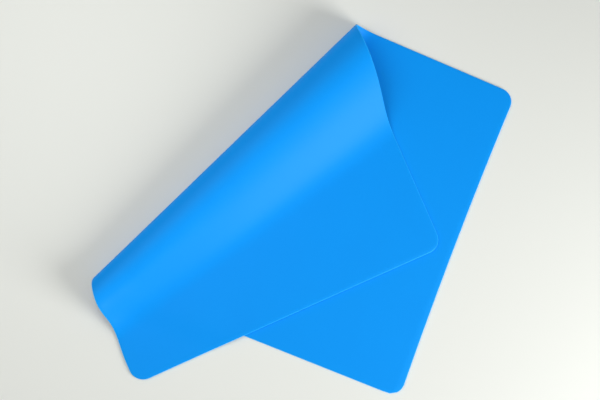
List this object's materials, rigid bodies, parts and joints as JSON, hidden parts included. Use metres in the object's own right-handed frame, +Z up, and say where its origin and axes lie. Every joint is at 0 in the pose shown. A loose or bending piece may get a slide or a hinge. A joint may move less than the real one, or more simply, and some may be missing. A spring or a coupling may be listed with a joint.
{
  "type": "heat resistant work mat",
  "caption": "Flat rectangular mat of soft silicone rubber with rounded corners, lying with one end folded over onto the rest in an open loop.",
  "frame": {"origin": "on the bench, under the middle of the folded mat's box", "axes": "+Z up from the bench, +X along the fold towards the loop's wide end, +Y out past the fold"},
  "size_m": [0.422, 0.2672, 0.0354],
  "materials": {
    "silicone_mat": "smooth satin blue silicone rubber"
  },
  "bodies": {
    "root": {"silicone_mat": "silicone_mat"}
  },
  "joints": []
}
